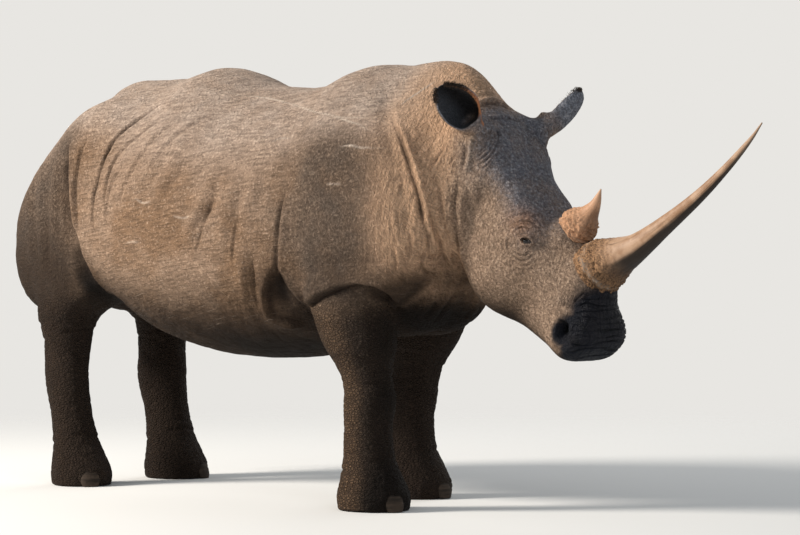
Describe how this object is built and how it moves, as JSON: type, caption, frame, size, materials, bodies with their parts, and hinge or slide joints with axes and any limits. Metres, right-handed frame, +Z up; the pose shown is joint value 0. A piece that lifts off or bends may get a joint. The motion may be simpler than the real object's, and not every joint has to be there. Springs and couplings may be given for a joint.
{
  "type": "white rhinoceros",
  "caption": "Life-size adult white rhinoceros standing with its head lowered, with a long slender front horn, a short rear horn, cupped ears and a hanging tail.",
  "frame": {"origin": "on the floor, under the middle of the animal's bounding box", "axes": "+X forward from tail to horn, +Y to the animal's left, +Z up"},
  "size_m": [4.012, 1.0674, 1.764],
  "materials": {
    "hide": "matte, dusty and wrinkled",
    "horn": "smooth shaft, rough fibrous base",
    "nail": "worn, satin",
    "eye": "wet gloss"
  },
  "bodies": {
    "root": {"trunk": "hide", "neck": "hide", "head": "hide", "jaw": "hide", "tail": "hide", "leg_front_right": "hide", "leg_front_left": "hide", "leg_hind_right": "hide", "leg_hind_left": "hide", "ear_left": "hide", "ear_right": "hide", "eye_left": "eye", "eye_right": "eye", "horn_front": "horn", "horn_rear": "horn", "toenail_front_right_1": "nail", "toenail_front_right_2": "nail", "toenail_front_right_3": "nail", "toenail_front_left_1": "nail", "toenail_front_left_2": "nail", "toenail_front_left_3": "nail", "toenail_hind_right_1": "nail", "toenail_hind_right_2": "nail", "toenail_hind_right_3": "nail", "toenail_hind_left_1": "nail", "toenail_hind_left_2": "nail", "toenail_hind_left_3": "nail"}
  },
  "joints": []
}
